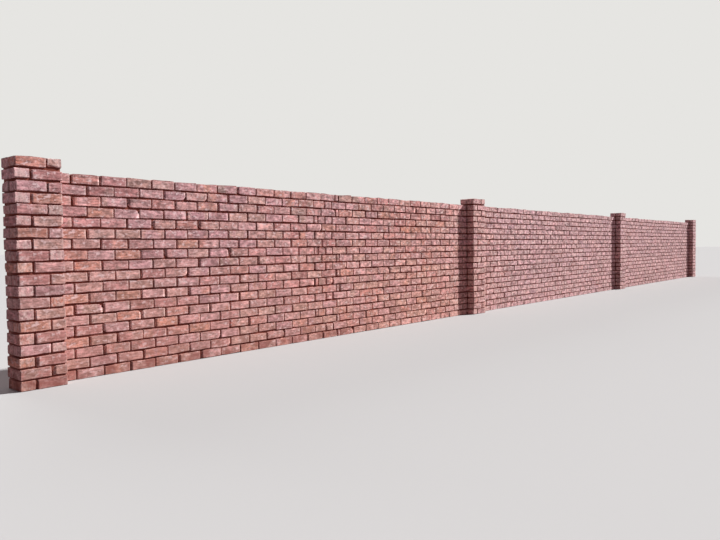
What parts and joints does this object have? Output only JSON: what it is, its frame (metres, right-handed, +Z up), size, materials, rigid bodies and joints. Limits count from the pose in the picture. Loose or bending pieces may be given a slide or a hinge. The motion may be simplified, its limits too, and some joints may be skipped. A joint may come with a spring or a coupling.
{
  "type": "brick garden wall",
  "caption": "Half-brick garden wall in stretcher bond, in bays between projecting brick piers that stand one course higher, with raked joints.",
  "frame": {"origin": "at the ground, midway along the wall and midway through the thickness of the piers", "axes": "+X along the wall, +Y from its piered front to its flush back, +Z up"},
  "size_m": [19.298, 0.222, 1.688],
  "materials": {
    "facing_brick": "rough fired clay, mottled pink and grey, chipped edges, dark raked joints",
    "damp_foot_brick": "rough fired clay, redder and soil-splashed at the ground line"
  },
  "bodies": {
    "root": {"pier_1_base": "damp_foot_brick", "pier_1_shaft": "facing_brick", "pier_1_top": "facing_brick", "pier_2_base": "damp_foot_brick", "pier_2_shaft": "facing_brick", "pier_2_top": "facing_brick", "pier_3_base": "damp_foot_brick", "pier_3_shaft": "facing_brick", "pier_3_top": "facing_brick", "pier_4_base": "damp_foot_brick", "pier_4_shaft": "facing_brick", "pier_4_top": "facing_brick", "bay_1_base": "damp_foot_brick", "bay_1_left": "facing_brick", "bay_1_closers": "facing_brick", "bay_1_right": "facing_brick", "bay_1_top": "facing_brick", "bay_2_base": "damp_foot_brick", "bay_2_left": "facing_brick", "bay_2_closers": "facing_brick", "bay_2_right": "facing_brick", "bay_2_top": "facing_brick", "bay_3_base": "damp_foot_brick", "bay_3_left": "facing_brick", "bay_3_closers": "facing_brick", "bay_3_right": "facing_brick", "bay_3_top": "facing_brick"}
  },
  "joints": []
}
